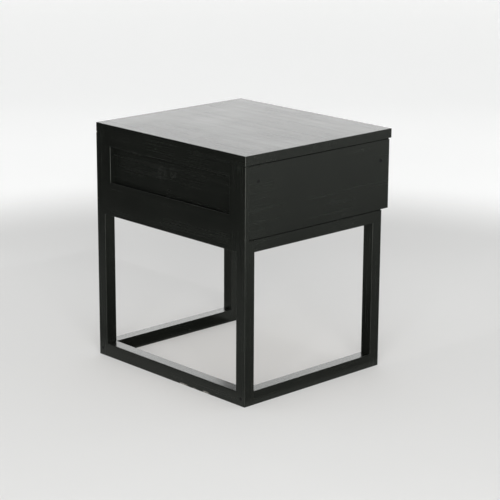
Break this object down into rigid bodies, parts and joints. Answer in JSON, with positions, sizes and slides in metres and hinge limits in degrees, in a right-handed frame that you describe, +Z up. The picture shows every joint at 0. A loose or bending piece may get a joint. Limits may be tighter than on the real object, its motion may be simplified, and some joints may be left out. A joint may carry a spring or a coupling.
{
  "type": "side table with drawer",
  "caption": "Small black painted side table: an open base of square bars with rails on the floor, and a shallow handle-less drawer in a case under a thin top.",
  "frame": {"origin": "on the floor, under the middle of the table's outline (the table top's middle)", "axes": "+Z up; the drawer front faces -Y, and the drawer opens along -Y; +X is to the right of a person who stands in front of the drawer"},
  "size_m": [0.45, 0.406, 0.5],
  "materials": {
    "black_paint": "satin black furniture paint over solid wood, brushed, sanded arrises",
    "bare_softwood": "planed unfinished pine",
    "birch_plywood": "unfinished thin plywood",
    "beech_dowel": "plain dowel",
    "zinc_steel": "zinc-plated screws and nails",
    "black_filler": "dried filler, painted over and a little sunk"
  },
  "bodies": {
    "table": {"leg_back_left": "black_paint", "leg_back_right": "black_paint", "leg_front_left": "black_paint", "leg_front_right": "black_paint", "floor_rail_back": "black_paint", "floor_rail_left": "black_paint", "floor_rail_right": "black_paint", "upper_rail_left": "black_paint", "upper_rail_right": "black_paint", "upper_rail_front": "black_paint", "back_rail_lower": "black_paint", "back_rail_upper": "black_paint", "back_stile_left": "black_paint", "back_stile_right": "black_paint", "back_panel": "black_paint", "side_panel_left": "black_paint", "side_panel_right": "black_paint", "top_board": "black_paint", "top_cleat_left": "bare_softwood", "top_cleat_right": "bare_softwood", "drawer_runner_left": "bare_softwood", "drawer_runner_right": "bare_softwood", "frame_dowels": "beech_dowel", "side_panel_dowels": "beech_dowel", "back_frame_dowels": "beech_dowel", "floor_rail_screws": "zinc_steel", "runner_screws": "zinc_steel", "cleat_screws": "zinc_steel", "screw_fillers": "black_filler"},
    "drawer": {"drawer_front": "black_paint", "drawer_side_left": "bare_softwood", "drawer_side_right": "bare_softwood", "drawer_back": "bare_softwood", "drawer_bottom": "birch_plywood", "drawer_front_dowels": "beech_dowel", "drawer_back_screws": "zinc_steel", "drawer_bottom_nails": "zinc_steel"}
  },
  "joints": [
    {"name": "drawer_slide", "type": "slide", "parent": "table", "child": "drawer", "axis": [0, -1, 0], "range_m": [0, 0.25]}
  ]
}
